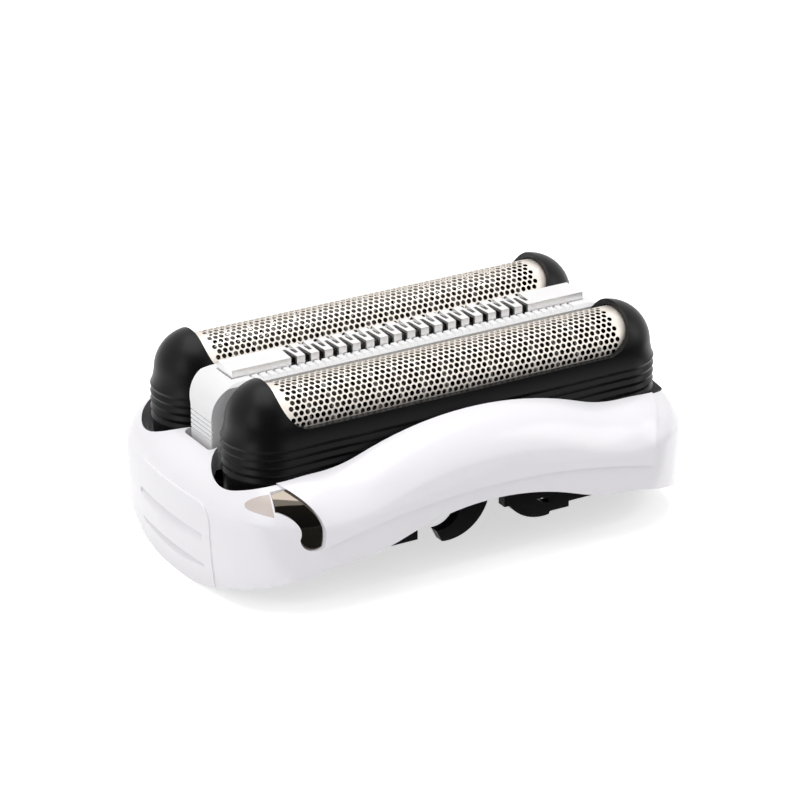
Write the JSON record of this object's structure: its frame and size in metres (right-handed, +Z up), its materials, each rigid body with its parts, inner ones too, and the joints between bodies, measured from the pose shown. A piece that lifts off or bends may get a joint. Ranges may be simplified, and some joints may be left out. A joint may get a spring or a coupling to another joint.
{
  "type": "shaver foil head",
  "caption": "Clip-on foil head for an electric shaver: perforated arched foils in ridged frames, with a slotted trimmer between them, in an arched ring-shaped housing.",
  "frame": {"origin": "centre of the head in plan, at the foot of the housing's two end walls", "axes": "+X along the foils, +Z up out of the foils, the side with the bright insert faces -Y"},
  "size_m": [0.055, 0.0358, 0.022],
  "materials": {
    "housing_white": "gloss",
    "accent_chrome": "polished",
    "frame_black": "satin",
    "foil_nickel": "satin",
    "blade_steel": "satin",
    "comb_white": "gloss",
    "carrier_grey": "matte"
  },
  "bodies": {
    "head": {"housing": "housing_white", "chrome_accent": "accent_chrome", "chassis": "frame_black", "front_spring_left": "blade_steel", "front_spring_right": "blade_steel", "rear_spring_left": "blade_steel", "rear_spring_right": "blade_steel", "trimmer_spring_left": "blade_steel", "trimmer_spring_right": "blade_steel"},
    "front_foil_unit": {"front_foil_frame": "frame_black", "front_foil": "foil_nickel"},
    "rear_foil_unit": {"rear_foil_frame": "frame_black", "rear_foil": "foil_nickel"},
    "trimmer_unit": {"trimmer_comb": "comb_white", "trimmer_guard": "foil_nickel"},
    "front_cutter": {"front_cutter_carrier": "carrier_grey", "front_cutter_blades": "blade_steel"},
    "rear_cutter": {"rear_cutter_carrier": "carrier_grey", "rear_cutter_blades": "blade_steel"},
    "trimmer_cutter": {"trimmer_slider": "carrier_grey", "trimmer_blade": "blade_steel"}
  },
  "joints": [
    {"name": "front_foil_float", "type": "slide", "parent": "head", "child": "front_foil_unit", "axis": [0, 0, 1], "range_m": [-0.0014, 0], "stiffness_N_per_m": 250, "springref_m": 0.002, "deforming": ["front_spring_left", "front_spring_right"]},
    {"name": "rear_foil_float", "type": "slide", "parent": "head", "child": "rear_foil_unit", "axis": [0, 0, 1], "range_m": [-0.0014, 0], "stiffness_N_per_m": 250, "springref_m": 0.002, "deforming": ["rear_spring_left", "rear_spring_right"]},
    {"name": "trimmer_float", "type": "slide", "parent": "head", "child": "trimmer_unit", "axis": [0, 0, 1], "range_m": [-0.0014, 0], "stiffness_N_per_m": 200, "springref_m": 0.002, "deforming": ["trimmer_spring_left", "trimmer_spring_right"]},
    {"name": "front_cutter_stroke", "type": "slide", "parent": "front_foil_unit", "child": "front_cutter", "axis": [1, 0, 0], "range_m": [-0.001, 0.001]},
    {"name": "rear_cutter_stroke", "type": "slide", "parent": "rear_foil_unit", "child": "rear_cutter", "axis": [1, 0, 0], "range_m": [-0.001, 0.001]},
    {"name": "trimmer_stroke", "type": "slide", "parent": "trimmer_unit", "child": "trimmer_cutter", "axis": [1, 0, 0], "range_m": [-0.001, 0.001]}
  ]
}
